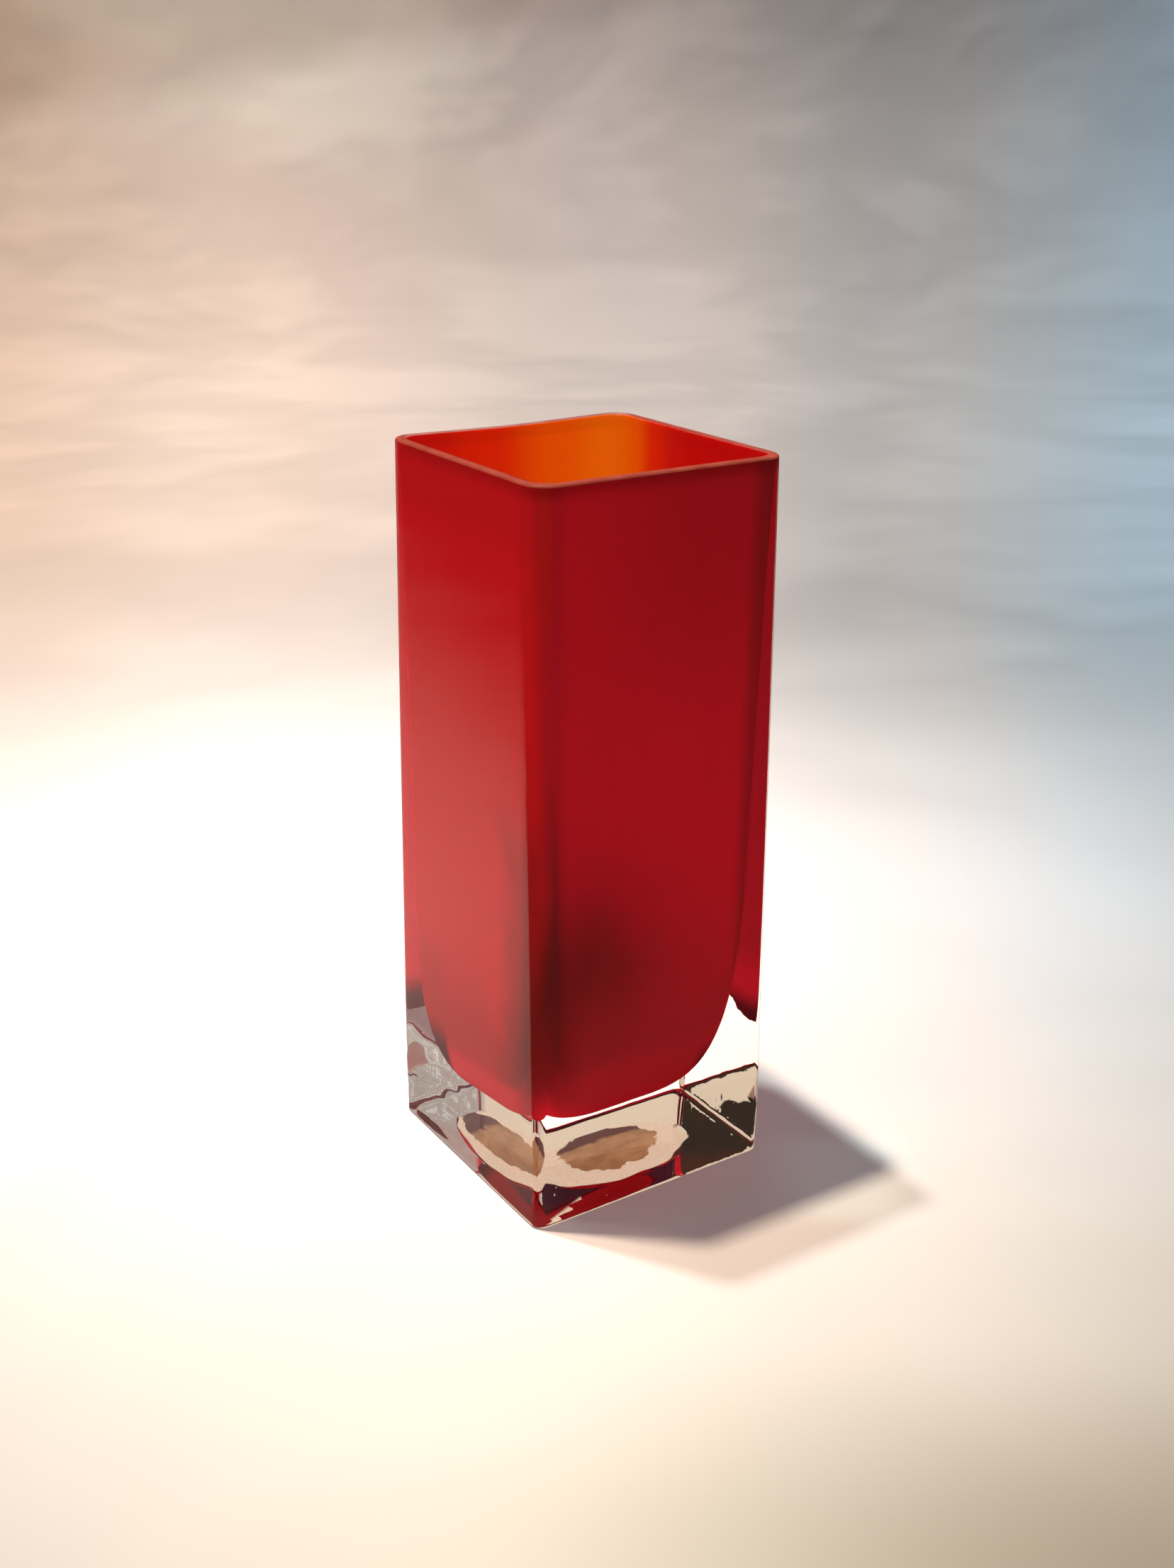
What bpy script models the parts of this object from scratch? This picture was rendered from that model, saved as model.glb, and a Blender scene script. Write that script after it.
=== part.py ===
"""Square cased-glass vase: a heavy clear glass block, blown and shaped square, round a thin cup of ruby glass.

Metres, +Z up. The origin is the centre of the foot, on the surface that the vase stands on, and the four
walls face -X, +X, -Y and +Y. The ruby cup is a bubble that was blown first, so it narrows and rounds off
towards its bottom, and it sits a little off centre and tilted in the clear glass gathered over it.
"""

import math

import bmesh
import bpy

# Outside of the clear block
HEIGHT = 0.200
FOOT_WIDTH = 0.0750  # flat to flat, just above the foot
RIM_WIDTH = 0.0736  # flat to flat, at the rim
FOOT_CORNER_R = 0.0026  # upright corners, seen from above
RIM_CORNER_R = 0.0062
FOOT_EDGE_R = 0.0016  # where the walls turn under to the foot
CORNER_TUCK_Z = 0.007  # the upright corners tuck in below this height
CORNER_TUCK_R = 0.0030
RIM_EDGE_R = 0.0006  # the rim is ground flat and its edges are melted round

# Shallow hollow polished into the underside
PUNT_R = 0.0250
PUNT_DEPTH = 0.0012

# Outer surface of the ruby cup
CUP_RIM_HALF = 0.0347  # centre to flat, at the rim
CUP_BODY_HALF = 0.0326  # centre to flat, where the cup starts to round off
CUP_RIM_CORNER_R = 0.0056
CUP_BODY_CORNER_R = 0.0042
CUP_KNEE_Z = 0.096
CUP_BOTTOM_Z = 0.0205
CUP_POWER = 4.4  # 2 would be an ellipse from the knee down, larger is squarer
CUP_ROUNDING = 0.35  # how far the section goes from a square to a circle at the bottom
CUP_SHIFT_X = -0.0034  # of the bottom of the cup, fading out upwards
CUP_SHIFT_Y = -0.0016
CUP_TILT_Y = -0.115  # rise over run, the bottom is lower at +Y
CUP_FADE_TOP_Z = 0.100
CUP_FADE_BOTTOM_Z = 0.030

CUP_WALL = 0.0009
CUP_FLOOR = 0.0014
CASE_GAP = 0.0003  # the layers are fused in the real vase
CUP_RIM_DROP = 0.0002  # the ruby edge is a touch lower than the clear rim

CORNER_STEPS = 5  # facets round each upright corner
SIDE_STEPS = 2  # lengths of each flat between two corners


def mix(a, b, t):
    return a + (b - a) * t


def smooth(t):
    t = min(max(t, 0.0), 1.0)
    return t * t * (3 - 2 * t)


def rounded_square(half, radius, z, move=None):
    """Points round a square with round corners, anticlockwise seen from above. move shifts each point."""
    radius = min(radius, half)
    flat = half - radius
    points = []
    for corner in range(4):
        start = math.radians(90 * corner)
        sx, sy = ((1, 1), (-1, 1), (-1, -1), (1, -1))[corner]
        arc = [
            (
                sx * flat + radius * math.cos(start + math.radians(90) * i / CORNER_STEPS),
                sy * flat + radius * math.sin(start + math.radians(90) * i / CORNER_STEPS),
            )
            for i in range(CORNER_STEPS + 1)
        ]
        points += arc
        nx, ny = ((-1, 1), (-1, -1), (1, -1), (1, 1))[corner]
        nxt = start + math.radians(90)
        end = arc[-1]
        beyond = (
            nx * flat + radius * math.cos(nxt),
            ny * flat + radius * math.sin(nxt),
        )
        points += [
            (mix(end[0], beyond[0], k / SIDE_STEPS), mix(end[1], beyond[1], k / SIDE_STEPS))
            for k in range(1, SIDE_STEPS)
        ]
    ring = [(x, y, z) for x, y in points]
    return [move(p) for p in ring] if move else ring


def circle_like(radius, z):
    """A circle with as many points as rounded_square, each opposite the one on the square."""
    count = 4 * (CORNER_STEPS + SIDE_STEPS)
    guide = rounded_square(1.0, 0.35, 0.0)
    angles = [math.atan2(y, x) for x, y, _ in guide]
    assert len(angles) == count
    return [(radius * math.cos(a), radius * math.sin(a), z) for a in angles]


def outer_half(z):
    return mix(FOOT_WIDTH, RIM_WIDTH, z / HEIGHT) / 2


def outer_corner(z):
    tuck = max(0.0, 1 - z / CORNER_TUCK_Z)
    return mix(FOOT_CORNER_R, RIM_CORNER_R, z / HEIGHT) + CORNER_TUCK_R * tuck * tuck


def lean(point):
    """Moves a point of the cup as its bubble sank: off centre and tilted at the bottom, true at the top."""
    x, y, z = point
    t = smooth((CUP_FADE_TOP_Z - z) / (CUP_FADE_TOP_Z - CUP_FADE_BOTTOM_Z))
    return (x + CUP_SHIFT_X * t, y + CUP_SHIFT_Y * t, z + CUP_TILT_Y * y * t)


def cup_rings(grow, floor_grow, top_z):
    """Rings of the cup's outer surface moved out by grow (and down by floor_grow), from top_z to the bottom."""
    bottom = CUP_BOTTOM_Z - floor_grow
    rings = []
    for k in range(5):
        z = mix(top_z, CUP_KNEE_Z, k / 4)
        t = (z - CUP_KNEE_Z) / (HEIGHT - CUP_KNEE_Z)
        rings.append(
            rounded_square(
                mix(CUP_BODY_HALF, CUP_RIM_HALF, t) + grow,
                mix(CUP_BODY_CORNER_R, CUP_RIM_CORNER_R, t) + grow,
                z,
                lean,
            )
        )
    for degrees in (8, 16, 25, 34, 43, 52, 61, 69, 76, 82, 86.5):
        a = math.radians(degrees)
        down = math.sin(a) ** (2 / CUP_POWER)
        half = (CUP_BODY_HALF + grow) * math.cos(a) ** (2 / CUP_POWER)
        rounding = CUP_ROUNDING * down**3
        radius = mix(CUP_BODY_CORNER_R + grow, half, rounding)
        rings.append(rounded_square(half, radius, mix(CUP_KNEE_Z, bottom, down), lean))
    return rings, lean((0.0, 0.0, bottom))


def loft(name, start, rings, end, material):
    """One closed body: a fan from the point start, a band between each ring and the next, and a fan to end."""
    bm = bmesh.new()
    rows = [[bm.verts.new(p) for p in ring] for ring in rings]
    count = len(rows[0])
    first, last = bm.verts.new(start), bm.verts.new(end)
    for j in range(count):
        k = (j + 1) % count
        bm.faces.new((first, rows[0][k], rows[0][j]))
        for low, high in zip(rows, rows[1:]):
            bm.faces.new((low[j], low[k], high[k], high[j]))
        bm.faces.new((last, rows[-1][j], rows[-1][k]))
    mesh = bpy.data.meshes.new(name)
    bm.to_mesh(mesh)
    bm.free()
    mesh.shade_smooth()
    mesh.set_sharp_from_angle(angle=math.radians(35))
    mesh.materials.append(material)
    made = bpy.data.objects.new(name, mesh)
    bpy.context.scene.collection.objects.link(made)
    return made


def glass(name, colour, roughness, transmission, ior=1.5):
    material = bpy.data.materials.new(name)
    material.use_nodes = True
    shader = material.node_tree.nodes["Principled BSDF"]
    shader.inputs["Base Color"].default_value = (*colour, 1.0)
    shader.inputs["Roughness"].default_value = roughness
    shader.inputs["Metallic"].default_value = 0.0
    shader.inputs["Transmission Weight"].default_value = transmission
    shader.inputs["IOR"].default_value = ior
    material.diffuse_color = (*colour, 0.4 if transmission > 0.9 else 1.0)
    return material


def clear_casing():
    rings = [
        circle_like(PUNT_R * 0.5, PUNT_DEPTH * 0.75),
        circle_like(PUNT_R, 0.0),
        rounded_square(
            outer_half(0) - FOOT_EDGE_R, outer_corner(0) - FOOT_EDGE_R * 0.5, 0.0
        ),
    ]
    for k in (1, 2, 3):
        a = math.radians(30 * k)
        z = FOOT_EDGE_R * (1 - math.cos(a))
        inset = FOOT_EDGE_R * (1 - math.sin(a))
        rings.append(
            rounded_square(outer_half(z) - inset, outer_corner(z) - inset * 0.5, z)
        )
    for z in (0.0035, CORNER_TUCK_Z, 0.05, 0.10, 0.15, HEIGHT - RIM_EDGE_R):
        rings.append(rounded_square(outer_half(z), outer_corner(z), z))
    for a in (45, 90):
        a = math.radians(a)
        inset = RIM_EDGE_R * (1 - math.cos(a))
        z = HEIGHT - RIM_EDGE_R * (1 - math.sin(a))
        rings.append(
            rounded_square(outer_half(HEIGHT) - inset, RIM_CORNER_R - inset, z)
        )
    cavity, bottom = cup_rings(CASE_GAP, CASE_GAP, HEIGHT)
    rings += cavity
    return loft(
        "clear_casing",
        (0.0, 0.0, PUNT_DEPTH),
        rings,
        bottom,
        glass("clear_glass", (0.96, 0.985, 0.975), 0.02, 1.0),
    )


def ruby_cup():
    outside, under = cup_rings(0.0, 0.0, HEIGHT - CUP_RIM_DROP)
    inside, floor = cup_rings(-CUP_WALL, -CUP_FLOOR, HEIGHT - CUP_RIM_DROP)
    return loft(
        "ruby_cup",
        under,
        outside[::-1] + inside,
        floor,
        glass("ruby_glass", (0.62, 0.012, 0.018), 0.05, 0.35, 1.52),
    )


def main():
    for item in list(bpy.data.objects):
        bpy.data.objects.remove(item, do_unlink=True)
    clear_casing()
    ruby_cup()


main()
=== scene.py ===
"""Looks of a square cased-glass vase: a ruby cup, with a rounded bottom, inside a heavy clear block.

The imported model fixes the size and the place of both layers. This file makes their fine surfaces: the
melted rim, the hollow underside, the cords and seed bubbles in the clear base, and the colour of the ruby.
"""

import math

import bmesh
import bpy
from mathutils import Matrix, Vector, noise


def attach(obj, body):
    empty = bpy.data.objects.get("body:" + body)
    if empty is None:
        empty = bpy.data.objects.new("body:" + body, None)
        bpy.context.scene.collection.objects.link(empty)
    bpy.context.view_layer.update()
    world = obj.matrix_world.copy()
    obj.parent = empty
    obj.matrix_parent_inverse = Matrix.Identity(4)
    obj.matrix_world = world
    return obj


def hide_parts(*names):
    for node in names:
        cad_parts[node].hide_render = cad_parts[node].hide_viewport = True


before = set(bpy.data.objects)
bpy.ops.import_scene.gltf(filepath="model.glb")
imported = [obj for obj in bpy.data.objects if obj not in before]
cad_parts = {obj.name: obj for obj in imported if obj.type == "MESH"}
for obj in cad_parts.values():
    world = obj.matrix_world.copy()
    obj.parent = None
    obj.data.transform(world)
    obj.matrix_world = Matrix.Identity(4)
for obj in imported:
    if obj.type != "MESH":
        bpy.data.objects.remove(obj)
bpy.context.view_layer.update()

# ---------------------------------------------------------------- dimensions, as in the solid model
HEIGHT = 0.200
FOOT_WIDTH = 0.0750
RIM_WIDTH = 0.0736
FOOT_CORNER_R = 0.0022
RIM_CORNER_R = 0.0062
FOOT_EDGE_W = 0.0016  # the foot turns up to the walls in a low, wide curve
FOOT_EDGE_H = 0.0005
CORNER_TUCK_Z = 0.016
CORNER_TUCK_R = 0.0012
RIM_EDGE_R = 0.0009

CONTACT = 0.0012  # width of the ring that the vase stands on
RING_RISE = 0.00040  # the underside rises inward from that ring to the punt
PUNT_R = 0.0250
PUNT_STEP = 0.00008
PUNT_DEPTH = 0.0014
GROUND_R = 0.0240  # the middle of the underside is ground matt
GROUND_X, GROUND_Y = 0.0003, 0.0000
PONTIL_R = 0.0152  # the scar of the pontil iron in it
PONTIL_X, PONTIL_Y = 0.0004, 0.0052

CUP_RIM_HALF = 0.0347
CUP_BODY_HALF = 0.0326
CUP_RIM_CORNER_R = 0.0056
CUP_BODY_CORNER_R = 0.0042
CUP_KNEE_Z = 0.096
CUP_BOTTOM_Z = 0.0205
CUP_POWER = 4.4
CUP_ROUNDING = 0.35
CUP_SHIFT_X = -0.0034
CUP_SHIFT_Y = -0.0016
CUP_TILT_Y = -0.115
CUP_FADE_TOP_Z = 0.100
CUP_FADE_BOTTOM_Z = 0.030
CUP_WALL = 0.0009
CUP_FLOOR = 0.0014
CUP_RIM_DROP = 0.0002
FUSE = 0.00002  # the clear glass bites this far into the ruby, so no film of air is left between them

RIM_DIP = 0.0005  # the rim sags a little in the middle of the +Y wall

CORNER_STEPS = 12
SIDE_STEPS = 22
PER_RING = 4 * (CORNER_STEPS + SIDE_STEPS)


def mix(a, b, t):
    return a + (b - a) * t


def clamp(t):
    return min(max(t, 0.0), 1.0)


def smooth(t):
    t = clamp(t)
    return t * t * (3 - 2 * t)


def rounded_square(half, radius, z, move=None):
    radius = min(radius, half)
    flat = half - radius
    points = []
    for corner in range(4):
        start = math.radians(90 * corner)
        sx, sy = ((1, 1), (-1, 1), (-1, -1), (1, -1))[corner]
        arc = [
            (
                sx * flat + radius * math.cos(start + math.radians(90) * i / CORNER_STEPS),
                sy * flat + radius * math.sin(start + math.radians(90) * i / CORNER_STEPS),
            )
            for i in range(CORNER_STEPS + 1)
        ]
        points += arc
        nx, ny = ((-1, 1), (-1, -1), (1, -1), (1, 1))[corner]
        nxt = start + math.radians(90)
        end = arc[-1]
        beyond = (nx * flat + radius * math.cos(nxt), ny * flat + radius * math.sin(nxt))
        points += [
            (mix(end[0], beyond[0], k / SIDE_STEPS), mix(end[1], beyond[1], k / SIDE_STEPS))
            for k in range(1, SIDE_STEPS)
        ]
    ring = [(x, y, z) for x, y in points]
    return [move(p) for p in ring] if move else ring


GUIDE = [math.atan2(y, x) for x, y, _ in rounded_square(1.0, 0.35, 0.0)]


def circle(radius, z):
    return [(radius * math.cos(a), radius * math.sin(a), z) for a in GUIDE]


def between(first, second, t, z):
    return [(mix(a[0], b[0], t), mix(a[1], b[1], t), z) for a, b in zip(first, second)]


def outer_half(z):
    return mix(FOOT_WIDTH, RIM_WIDTH, z / HEIGHT) / 2


def outer_corner(z):
    tuck = max(0.0, 1 - z / CORNER_TUCK_Z)
    return mix(FOOT_CORNER_R, RIM_CORNER_R, z / HEIGHT) + CORNER_TUCK_R * tuck**1.6


def lean(point):
    x, y, z = point
    t = smooth((CUP_FADE_TOP_Z - z) / (CUP_FADE_TOP_Z - CUP_FADE_BOTTOM_Z))
    return (x + CUP_SHIFT_X * t, y + CUP_SHIFT_Y * t, z + CUP_TILT_Y * y * t)


def cup_rings(grow, floor_grow, top_z, lip=0.0):
    """Rings of the cup's outer surface moved out by grow, from the rim down. lip rounds the edge of the rim."""
    bottom = CUP_BOTTOM_Z - floor_grow
    sign = -1 if grow > -0.0005 else 1
    rings = []

    def at(z, more=0.0):
        t = (z - CUP_KNEE_Z) / (HEIGHT - CUP_KNEE_Z)
        return rounded_square(
            mix(CUP_BODY_HALF, CUP_RIM_HALF, t) + grow + more,
            mix(CUP_BODY_CORNER_R, CUP_RIM_CORNER_R, t) + grow + more,
            z,
            lean,
        )

    if lip:
        for k in range(4):
            a = math.radians(90 * k / 4)
            rings.append(at(top_z - lip * (1 - math.cos(a)), sign * lip * (1 - math.sin(a))))
    steps = 26
    for k in range(steps + 1):
        rings.append(at(mix(top_z - lip, CUP_KNEE_Z, k / steps)))
    for k in range(1, 33):
        a = math.radians(88.5) * (k / 32) ** 0.92
        down = math.sin(a) ** (2 / CUP_POWER)
        half = (CUP_BODY_HALF + grow) * math.cos(a) ** (2 / CUP_POWER)
        radius = mix(CUP_BODY_CORNER_R + grow, half, CUP_ROUNDING * down**3)
        rings.append(rounded_square(half, radius, mix(CUP_KNEE_Z, bottom, down), lean))
    return rings, lean((0.0, 0.0, bottom))


def loft(name, start, rings, end, materials, slot_of):
    """One closed body. slot_of gives the material slot of the band above ring number i."""
    bm = bmesh.new()
    rows = [[bm.verts.new(p) for p in ring] for ring in rings]
    first, last = bm.verts.new(start), bm.verts.new(end)
    for j in range(PER_RING):
        k = (j + 1) % PER_RING
        bm.faces.new((first, rows[0][k], rows[0][j])).material_index = slot_of(0)
        for i, (low, high) in enumerate(zip(rows, rows[1:])):
            bm.faces.new((low[j], low[k], high[k], high[j])).material_index = slot_of(i)
        bm.faces.new((last, rows[-1][j], rows[-1][k])).material_index = slot_of(len(rows) - 2)
    mesh = bpy.data.meshes.new(name)
    bm.to_mesh(mesh)
    bm.free()
    mesh.shade_smooth()
    for material in materials:
        mesh.materials.append(material)
    made = bpy.data.objects.new(name, mesh)
    bpy.context.scene.collection.objects.link(made)
    return made


# ---------------------------------------------------------------- materials
def new_material(name):
    material = bpy.data.materials.new(name)
    material.use_nodes = True
    tree = material.node_tree
    tree.nodes.clear()
    return material, tree, tree.nodes.new("ShaderNodeOutputMaterial")


def add(tree, kind, **values):
    node = tree.nodes.new(kind)
    for key, value in values.items():
        if key in node.inputs:
            node.inputs[key].default_value = value
        else:
            setattr(node, key, value)
    return node


def math_node(tree, operation, a, b=None, use_clamp=False):
    node = tree.nodes.new("ShaderNodeMath")
    node.operation = operation
    node.use_clamp = use_clamp
    for index, value in enumerate((a, b)):
        if value is None:
            continue
        if isinstance(value, (int, float)):
            node.inputs[index].default_value = value
        else:
            tree.links.new(value, node.inputs[index])
    return node.outputs[0]


def position(tree):
    coords = tree.nodes.new("ShaderNodeTexCoord")
    split = tree.nodes.new("ShaderNodeSeparateXYZ")
    tree.links.new(coords.outputs["Object"], split.inputs[0])
    return coords.outputs["Object"], split.outputs["X"], split.outputs["Y"], split.outputs["Z"]


def scaled(tree, vector, scale):
    node = tree.nodes.new("ShaderNodeMapping")
    node.inputs["Scale"].default_value = scale
    tree.links.new(vector, node.inputs["Vector"])
    return node.outputs[0]


def noise_of(tree, vector, scale, detail=2.0, rough=0.5, distortion=0.0):
    node = tree.nodes.new("ShaderNodeTexNoise")
    node.inputs["Scale"].default_value = scale
    node.inputs["Detail"].default_value = detail
    node.inputs["Roughness"].default_value = rough
    node.inputs["Distortion"].default_value = distortion
    tree.links.new(vector, node.inputs["Vector"])
    return node.outputs["Fac"]


def ramp(tree, factor, stops):
    node = tree.nodes.new("ShaderNodeValToRGB")
    node.color_ramp.interpolation = "EASE"
    elements = node.color_ramp.elements
    while len(elements) < len(stops):
        elements.new(0.5)
    for element, (at, colour) in zip(elements, stops):
        element.position = at
        element.color = (*colour, 1.0)
    tree.links.new(factor, node.inputs[0])
    return node.outputs[0]


def blend_colour(tree, factor, a, b, kind="MIX"):
    node = tree.nodes.new("ShaderNodeMix")
    node.data_type = "RGBA"
    node.blend_type = kind
    for socket, value in ((node.inputs[0], factor), (node.inputs[6], a), (node.inputs[7], b)):
        if isinstance(value, (int, float)):
            socket.default_value = value
        elif isinstance(value, tuple):
            socket.default_value = (*value, 1.0)
        else:
            tree.links.new(value, socket)
    return node.outputs[2]


def span(tree, value, low, high):
    """0 at low and 1 at high, clamped."""
    node = tree.nodes.new("ShaderNodeMapRange")
    node.interpolation_type = "SMOOTHSTEP"
    node.inputs["From Min"].default_value = low
    node.inputs["From Max"].default_value = high
    tree.links.new(value, node.inputs["Value"])
    return node.outputs[0]


def straight_through(tree, shader, soft, lamps):
    """Lets soft light pass in a straight line through the shader soft, and the lamps through the shader lamps."""
    path = tree.nodes.new("ShaderNodeLightPath")
    for kind, clear in (("Is Diffuse Ray", soft), ("Is Shadow Ray", lamps)):
        pick = tree.nodes.new("ShaderNodeMixShader")
        tree.links.new(path.outputs[kind], pick.inputs[0])
        tree.links.new(shader, pick.inputs[1])
        tree.links.new(clear, pick.inputs[2])
        shader = pick.outputs[0]
    return shader


def far_side(tree, dx, dy, tilt):
    """What the clear base shows of the room, by direction: pale cloth up to its top edge, and the unlit room over it."""

    def m(operation, first, second=None):
        return math_node(tree, operation, first, second)

    spot = tree.nodes.new("ShaderNodeCombineXYZ")
    for socket, value in zip(spot.inputs, (dx, dy, tilt)):
        tree.links.new(value, socket)
    wave = m("SUBTRACT", noise_of(tree, spot.outputs[0], 5.0, 2.0), 0.5)
    patch = m("SUBTRACT", noise_of(tree, spot.outputs[0], 13.0, 2.0), 0.5)
    front = span(tree, m("SUBTRACT", m("MULTIPLY", dx, 0.64), m("MULTIPLY", dy, 0.77)), -0.20, 0.55)
    left = span(tree, m("SUBTRACT", m("MULTIPLY", dy, 0.80), m("MULTIPLY", dx, 0.60)), 0.60, 0.90)
    # the cloth ends lower behind the far left corner than beside it
    beside = span(tree, m("ADD", m("MULTIPLY", dx, 0.795), m("MULTIPLY", dy, 0.606)), -0.012, 0.012)
    drop = m("SUBTRACT", 0.15, m("MULTIPLY", beside, 0.12))
    drop = m("MULTIPLY", left, m("ADD", drop, m("MULTIPLY", patch, 0.35)))
    edge = m("ADD", 0.66, m("SUBTRACT", m("MULTIPLY", front, 0.40), drop))
    above = span(tree, m("SUBTRACT", tilt, m("ADD", edge, m("MULTIPLY", wave, 0.16))), -0.012, 0.012)
    cloth = blend_colour(tree, front, (0.86, 0.64, 0.47), (0.46, 0.36, 0.315))
    folds = noise_of(tree, scaled(tree, spot.outputs[0], (1.0, 1.0, 0.4)), 26.0, 2.0, 0.5, 1.5)
    cloth = blend_colour(tree, m("MULTIPLY", front, span(tree, folds, 0.50, 0.68)), cloth, (0.72, 0.66, 0.62))
    gloom = blend_colour(tree, left, (0.040, 0.009, 0.014), (0.038, 0.027, 0.018))
    return blend_colour(tree, above, cloth, gloom)


def clear_glass():
    """Clear glass that lets the lamps through. Fire polishing leaves very faint ripples on it."""
    material, tree, out = new_material("clear_glass_fire_polished")
    vector, _, _, _ = position(tree)
    ripple = noise_of(tree, scaled(tree, vector, (1.0, 1.0, 0.45)), 95.0, 2.0)
    bump = add(tree, "ShaderNodeBump", Strength=0.10, Distance=0.0006)
    tree.links.new(ripple, bump.inputs["Height"])
    glass = add(tree, "ShaderNodeBsdfGlass", IOR=1.5, Roughness=0.0, Color=(0.975, 0.985, 0.980, 1))
    tree.links.new(bump.outputs[0], glass.inputs["Normal"])
    soft = add(tree, "ShaderNodeBsdfTransparent", Color=(0.96, 0.965, 0.97, 1))
    # the block bends most of the lamps' light away, so it throws a shadow as well
    lamps = add(tree, "ShaderNodeBsdfTransparent", Color=(0.26, 0.25, 0.26, 1))
    shader = straight_through(tree, glass.outputs[0], soft.outputs[0], lamps.outputs[0])
    tree.links.new(shader, out.inputs["Surface"])
    return material


def rim_glass():
    """The ground rim: its surface is a little milky over the ruby beneath, with worn spots."""
    material, tree, out = new_material("clear_glass_ground_rim")
    vector, _, _, _ = position(tree)
    wear = noise_of(tree, vector, 160.0, 3.0, 0.5)
    tint = ramp(tree, wear, [(0.3, (0.30, 0.046, 0.032)), (0.7, (0.38, 0.074, 0.046))])
    glass = add(tree, "ShaderNodeBsdfGlass", IOR=1.5, Roughness=0.42, Color=(0.97, 0.94, 0.92, 1))
    milk = tree.nodes.new("ShaderNodeBsdfDiffuse")
    tree.links.new(tint, milk.inputs["Color"])
    mixer = tree.nodes.new("ShaderNodeMixShader")
    mixer.inputs[0].default_value = 0.80
    tree.links.new(glass.outputs[0], mixer.inputs[1])
    tree.links.new(milk.outputs[0], mixer.inputs[2])
    tree.links.new(mixer.outputs[0], out.inputs["Surface"])
    return material


def underside_glass():
    """The underside: a polished ring that the vase stands on, ground matt inside it, with the pontil's scar in the middle."""
    material, tree, out = new_material("clear_glass_ground_underside")
    vector, x, y, _ = position(tree)

    def m(operation, first, second=None):
        return math_node(tree, operation, first, second)

    def within(cx, cy, squash, radius, edge):
        dx, dy = m("SUBTRACT", x, cx), m("MULTIPLY", m("SUBTRACT", y, cy), squash)
        away = m("SQRT", m("ADD", m("MULTIPLY", dx, dx), m("MULTIPLY", dy, dy)))
        return m("SUBTRACT", 1.0, span(tree, m("ADD", away, edge), radius - 0.0003, radius + 0.0003))

    scallop = m("MULTIPLY", m("SUBTRACT", noise_of(tree, vector, 75.0, 1.0), 0.5), 0.0064)
    ragged = m("MULTIPLY", m("SUBTRACT", noise_of(tree, vector, 150.0, 2.5, 0.5, 0.4), 0.5), 0.0090)
    ground = within(GROUND_X, GROUND_Y, 1.06, GROUND_R, scallop)
    path = tree.nodes.new("ShaderNodeLightPath")
    # the grinding ran out towards the front corner, in a jagged tongue
    tx, ty = m("ADD", x, 0.0190), m("ADD", y, 0.0195)
    along = m("ADD", m("MULTIPLY", tx, -0.645), m("MULTIPLY", ty, -0.764))
    jag = m("MULTIPLY", m("SUBTRACT", m("PINGPONG", m("ADD", along, 0.10), 0.0035), 0.00175), 0.8)
    jag = m("ADD", jag, m("MULTIPLY", m("SUBTRACT", noise_of(tree, vector, 300.0, 3.0), 0.5), 0.0036))
    across = m("ABSOLUTE", m("ADD", m("SUBTRACT", m("MULTIPLY", tx, 0.764), m("MULTIPLY", ty, 0.645)), jag))
    tongue = m("MULTIPLY", span(tree, m("ADD", across, m("MULTIPLY", along, 0.03)), 0.0026, 0.0022), span(tree, along, 0.0206, 0.0200))
    tongue = m("MULTIPLY", m("MULTIPLY", tongue, span(tree, along, -0.004, -0.002)), m("LESS_THAN", path.outputs["Ray Depth"], 1.5))
    tongue = m("MULTIPLY", tongue, span(tree, m("SUBTRACT", y, m("MULTIPLY", x, 0.67)), -0.0100, -0.0125))
    ground = m("MAXIMUM", ground, tongue)
    scar = within(PONTIL_X, PONTIL_Y, 0.80, PONTIL_R, ragged)
    grain = noise_of(tree, vector, 900.0, 3.0, 0.6)
    cream = ramp(tree, grain, [(0.3, (0.86, 0.72, 0.60)), (0.7, (0.96, 0.84, 0.72))])
    stain = noise_of(tree, vector, 120.0, 3.0, 0.6)
    scar_stain_and_reflection = ramp(tree, stain, [(0.3, (0.36, 0.19, 0.10)), (0.7, (0.52, 0.29, 0.16))])
    # painted reflection: the scar's +Y part is a dark purple, the ruby's shaded far side mirrored there
    scar_stain_and_reflection = blend_colour(tree, span(tree, m("ADD", y, m("MULTIPLY", ragged, 1.2)), 0.0105, 0.0135), scar_stain_and_reflection, (0.11, 0.030, 0.036))
    scar = m("MULTIPLY", scar, m("LESS_THAN", path.outputs["Ray Depth"], 1.5))
    colour = blend_colour(tree, scar, cream, scar_stain_and_reflection)
    matt = tree.nodes.new("ShaderNodeBsdfDiffuse")
    tree.links.new(colour, matt.inputs["Color"])
    # painted glow: seen through the block, the underside gives off light a little brighter than its own colour,
    # standing in for the light that the block's walls gather on it
    painted_glow_through_block = tree.nodes.new("ShaderNodeEmission")
    tree.links.new(blend_colour(tree, 1.0, colour, (1.24, 1.08, 0.90), "MULTIPLY"), painted_glow_through_block.inputs["Color"])
    lit = tree.nodes.new("ShaderNodeMixShader")
    inside = m("MULTIPLY", path.outputs["Is Glossy Ray"], path.outputs["Is Transmission Ray"])
    tree.links.new(m("MULTIPLY", inside, 0.6), lit.inputs[0])
    tree.links.new(matt.outputs[0], lit.inputs[1])
    tree.links.new(painted_glow_through_block.outputs[0], lit.inputs[2])
    glass = add(tree, "ShaderNodeBsdfGlass", IOR=1.5, Roughness=0.0, Color=(0.975, 0.985, 0.980, 1))
    mixer = tree.nodes.new("ShaderNodeMixShader")
    tree.links.new(m("MULTIPLY", ground, 0.92), mixer.inputs[0])
    tree.links.new(glass.outputs[0], mixer.inputs[1])
    tree.links.new(lit.outputs[0], mixer.inputs[2])
    tree.links.new(mixer.outputs[0], out.inputs["Surface"])
    return material


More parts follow.
